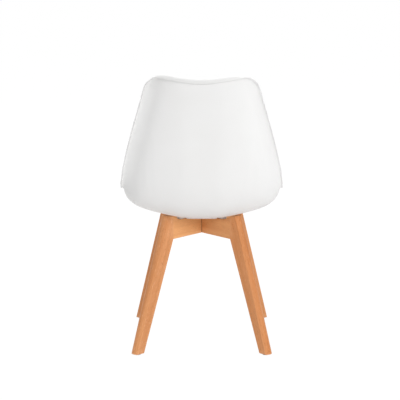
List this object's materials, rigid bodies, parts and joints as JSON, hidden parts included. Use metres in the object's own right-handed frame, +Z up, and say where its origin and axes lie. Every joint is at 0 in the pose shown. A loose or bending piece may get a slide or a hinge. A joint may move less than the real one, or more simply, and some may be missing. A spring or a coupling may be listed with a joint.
{
  "type": "dining chair",
  "caption": "Dining chair: a one-piece moulded bucket shell with a rolled rim and a padded seat cushion, on splayed wooden legs joined by crossed half-lapped rails.",
  "frame": {"origin": "on the floor, under the point where the two leg frames cross, which is the centre of the chair's plan within a few millimetres", "axes": "+Z up, the sitter faces -Y, +X to the sitter's left"},
  "size_m": [0.4748, 0.5526, 0.8324],
  "materials": {
    "shell": "fine satin, moulded polypropylene",
    "cover": "soft satin, fine pebbled grain",
    "board": "matte, moulded",
    "screws": "zinc plated",
    "beech": "satin lacquered beech",
    "dowel_beech": "raw beech",
    "zinc_steel": "zinc plated",
    "brass": "machined",
    "glide_nylon": "matte nylon",
    "nail_steel": "bright wire"
  },
  "bodies": {
    "root": {"seat_shell": "shell", "seat_cushion": "cover", "cushion_board": "board", "cushion_screws": "screws", "leg_front_left": "beech", "leg_front_right": "beech", "leg_rear_left": "beech", "leg_rear_right": "beech", "cross_rail_lower": "beech", "cross_rail_upper": "beech", "leg_dowels": "dowel_beech", "frame_bolts": "zinc_steel", "flat_washers": "zinc_steel", "lock_washers": "zinc_steel", "threaded_inserts": "brass", "foot_glides": "glide_nylon", "glide_nails": "nail_steel"}
  },
  "joints": []
}
